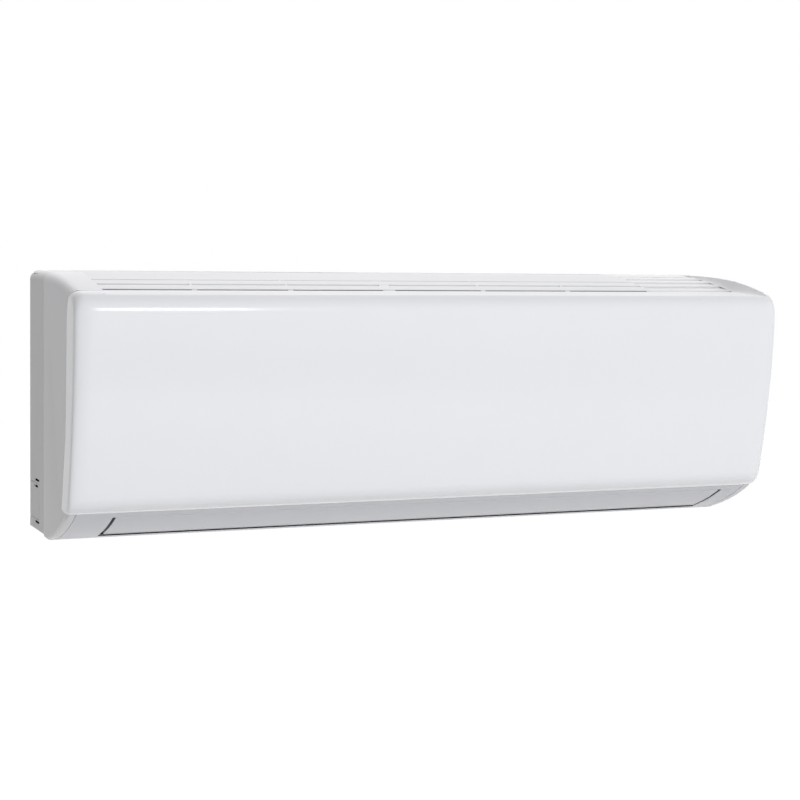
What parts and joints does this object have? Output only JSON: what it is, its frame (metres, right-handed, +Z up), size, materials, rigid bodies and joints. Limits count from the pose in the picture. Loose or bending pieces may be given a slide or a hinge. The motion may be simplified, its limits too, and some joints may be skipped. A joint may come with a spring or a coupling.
{
  "type": "wall fan coil unit",
  "caption": "Wall-mounted fan coil unit: white hinged front panel, recessed top intake grille, slanted outlet strip with a swinging louver, and a fan, coil and drain pan inside.",
  "frame": {"origin": "centre of the wall plate's back face, on the wall", "axes": "+X to the right for someone who faces the unit, +Y into the wall, +Z up; the front looks along -Y"},
  "size_m": [0.845, 0.209, 0.289],
  "materials": {
    "panel_plastic": "high gloss white",
    "casing_plastic": "satin white",
    "chassis_plastic": "satin off-white",
    "outlet_plastic": "pale silver grey",
    "dark_plastic": "dark grey, slightly rough",
    "pale_plastic": "smooth white",
    "grey_plastic": "mid grey",
    "galvanised_steel": "galvanised",
    "fin_aluminium": "bare fins",
    "copper": null,
    "brass": "machined brass",
    "black_rubber": "black rubber",
    "board": "green circuit board",
    "filter_mesh": "blue plastic frame and mesh"
  },
  "bodies": {
    "casing": {"wall_plate": "galvanised_steel", "rear_chassis": "chassis_plastic", "front_casing": "casing_plastic", "outlet_frame": "outlet_plastic", "louver_motor": "galvanised_steel", "pipe_cover_left": "chassis_plastic", "pipe_cover_right": "chassis_plastic", "drain_pan": "casing_plastic", "drain_spout": "grey_plastic", "fan_bearing": "brass", "bearing_holder": "black_rubber", "fan_motor": "galvanised_steel", "motor_ring_left": "black_rubber", "motor_ring_right": "black_rubber", "motor_cap": "chassis_plastic", "coil_front": "fin_aluminium", "coil_top": "fin_aluminium", "coil_rear": "fin_aluminium", "coil_end_plate_left": "galvanised_steel", "coil_end_plate_right": "galvanised_steel", "coil_header": "copper", "bleed_valve": "brass", "water_pipe_upper": "copper", "water_pipe_lower": "copper", "electrical_box": "pale_plastic", "electrical_box_cover": "galvanised_steel", "control_board": "board", "transformer": "grey_plastic", "capacitor": "dark_plastic", "terminal_block": "pale_plastic", "display_housing": "dark_plastic", "display_board": "board"},
    "panel": {"front_panel": "panel_plastic"},
    "louver": {"louver": "outlet_plastic", "louver_shaft": "pale_plastic"},
    "fan": {"cross_flow_fan": "dark_plastic", "fan_axle": "galvanised_steel", "motor_shaft": "galvanised_steel"},
    "button": {"auto_button": "pale_plastic"},
    "filter_left": {"air_filter_left": "filter_mesh"},
    "filter_right": {"air_filter_right": "filter_mesh"},
    "link_left": {"vane_link_left": "outlet_plastic"},
    "link_right": {"vane_link_right": "outlet_plastic"},
    "vane_01_body": {"vane_01": "outlet_plastic"},
    "vane_02_body": {"vane_02": "outlet_plastic"},
    "vane_03_body": {"vane_03": "outlet_plastic"},
    "vane_04_body": {"vane_04": "outlet_plastic"},
    "vane_05_body": {"vane_05": "outlet_plastic"},
    "vane_06_body": {"vane_06": "outlet_plastic"},
    "vane_07_body": {"vane_07": "outlet_plastic"},
    "vane_08_body": {"vane_08": "outlet_plastic"},
    "vane_09_body": {"vane_09": "outlet_plastic"},
    "vane_10_body": {"vane_10": "outlet_plastic"},
    "vane_11_body": {"vane_11": "outlet_plastic"},
    "vane_12_body": {"vane_12": "outlet_plastic"}
  },
  "joints": [
    {"name": "front_panel_hinge", "type": "hinge", "parent": "casing", "child": "panel", "pos_m": [0, -0.1895, 0.116], "axis": [-1, 0, 0], "range_deg": [0, 50]},
    {"name": "louver_pivot", "type": "hinge", "parent": "casing", "child": "louver", "pos_m": [0, -0.10701, -0.132], "axis": [1, 0, 0], "range_deg": [0, 75]},
    {"name": "fan_spin", "type": "hinge", "parent": "casing", "child": "fan", "pos_m": [0, -0.09217, -0.04995], "axis": [1, 0, 0], "continuous": true},
    {"name": "auto_button_press", "type": "slide", "parent": "casing", "child": "button", "axis": [0, 1, 0], "range_m": [0, 0.0015], "stiffness_N_per_m": 900, "springref_m": -0.0008},
    {"name": "air_filter_left_lift", "type": "hinge", "parent": "casing", "child": "filter_left", "pos_m": [0, -0.06019, -0.02501], "axis": [-1, 0, 0], "range_deg": [0, 5]},
    {"name": "air_filter_right_lift", "type": "hinge", "parent": "casing", "child": "filter_right", "pos_m": [0, -0.06019, -0.02501], "axis": [-1, 0, 0], "range_deg": [0, 5]},
    {"name": "vane_01_turn", "type": "hinge", "parent": "casing", "child": "vane_01_body", "pos_m": [-0.328, -0.14672, -0.09433], "axis": [0, 0.8624, -0.5062], "range_deg": [-24, 24]},
    {"name": "vane_02_turn", "type": "hinge", "parent": "casing", "child": "vane_02_body", "pos_m": [-0.274, -0.14672, -0.09433], "axis": [0, 0.8624, -0.5062], "range_deg": [-24, 24]},
    {"name": "vane_03_turn", "type": "hinge", "parent": "casing", "child": "vane_03_body", "pos_m": [-0.22, -0.14672, -0.09433], "axis": [0, 0.8624, -0.5062], "range_deg": [-24, 24]},
    {"name": "vane_04_turn", "type": "hinge", "parent": "casing", "child": "vane_04_body", "pos_m": [-0.166, -0.14672, -0.09433], "axis": [0, 0.8624, -0.5062], "range_deg": [-24, 24]},
    {"name": "vane_05_turn", "type": "hinge", "parent": "casing", "child": "vane_05_body", "pos_m": [-0.112, -0.14672, -0.09433], "axis": [0, 0.8624, -0.5062], "range_deg": [-24, 24]},
    {"name": "vane_06_turn", "type": "hinge", "parent": "casing", "child": "vane_06_body", "pos_m": [-0.058, -0.14672, -0.09433], "axis": [0, 0.8624, -0.5062], "range_deg": [-24, 24]},
    {"name": "vane_07_turn", "type": "hinge", "parent": "casing", "child": "vane_07_body", "pos_m": [-0.004, -0.14672, -0.09433], "axis": [0, 0.8624, -0.5062], "range_deg": [-24, 24]},
    {"name": "vane_08_turn", "type": "hinge", "parent": "casing", "child": "vane_08_body", "pos_m": [0.05, -0.14672, -0.09433], "axis": [0, 0.8624, -0.5062], "range_deg": [-24, 24]},
    {"name": "vane_09_turn", "type": "hinge", "parent": "casing", "child": "vane_09_body", "pos_m": [0.104, -0.14672, -0.09433], "axis": [0, 0.8624, -0.5062], "range_deg": [-24, 24]},
    {"name": "vane_10_turn", "type": "hinge", "parent": "casing", "child": "vane_10_body", "pos_m": [0.158, -0.14672, -0.09433], "axis": [0, 0.8624, -0.5062], "range_deg": [-24, 24]},
    {"name": "vane_11_turn", "type": "hinge", "parent": "casing", "child": "vane_11_body", "pos_m": [0.212, -0.14672, -0.09433], "axis": [0, 0.8624, -0.5062], "range_deg": [-24, 24]},
    {"name": "vane_12_turn", "type": "hinge", "parent": "casing", "child": "vane_12_body", "pos_m": [0.266, -0.14672, -0.09433], "axis": [0, 0.8624, -0.5062], "range_deg": [-24, 24]},
    {"name": "vane_link_left_slide", "type": "slide", "parent": "casing", "child": "link_left", "axis": [1, 0, 0], "range_m": [-0.00488, 0.00488]},
    {"name": "vane_link_right_slide", "type": "slide", "parent": "casing", "child": "link_right", "axis": [1, 0, 0], "range_m": [-0.00488, 0.00488]}
  ],
  "couplings": [
    {"joint": "vane_01_turn", "follows": "vane_link_left_slide", "rad_per_m": 85.783},
    {"joint": "vane_02_turn", "follows": "vane_link_left_slide", "rad_per_m": 85.783},
    {"joint": "vane_03_turn", "follows": "vane_link_left_slide", "rad_per_m": 85.783},
    {"joint": "vane_04_turn", "follows": "vane_link_left_slide", "rad_per_m": 85.783},
    {"joint": "vane_05_turn", "follows": "vane_link_left_slide", "rad_per_m": 85.783},
    {"joint": "vane_06_turn", "follows": "vane_link_left_slide", "rad_per_m": 85.783},
    {"joint": "vane_07_turn", "follows": "vane_link_right_slide", "rad_per_m": 85.783},
    {"joint": "vane_08_turn", "follows": "vane_link_right_slide", "rad_per_m": 85.783},
    {"joint": "vane_09_turn", "follows": "vane_link_right_slide", "rad_per_m": 85.783},
    {"joint": "vane_10_turn", "follows": "vane_link_right_slide", "rad_per_m": 85.783},
    {"joint": "vane_11_turn", "follows": "vane_link_right_slide", "rad_per_m": 85.783},
    {"joint": "vane_12_turn", "follows": "vane_link_right_slide", "rad_per_m": 85.783}
  ]
}
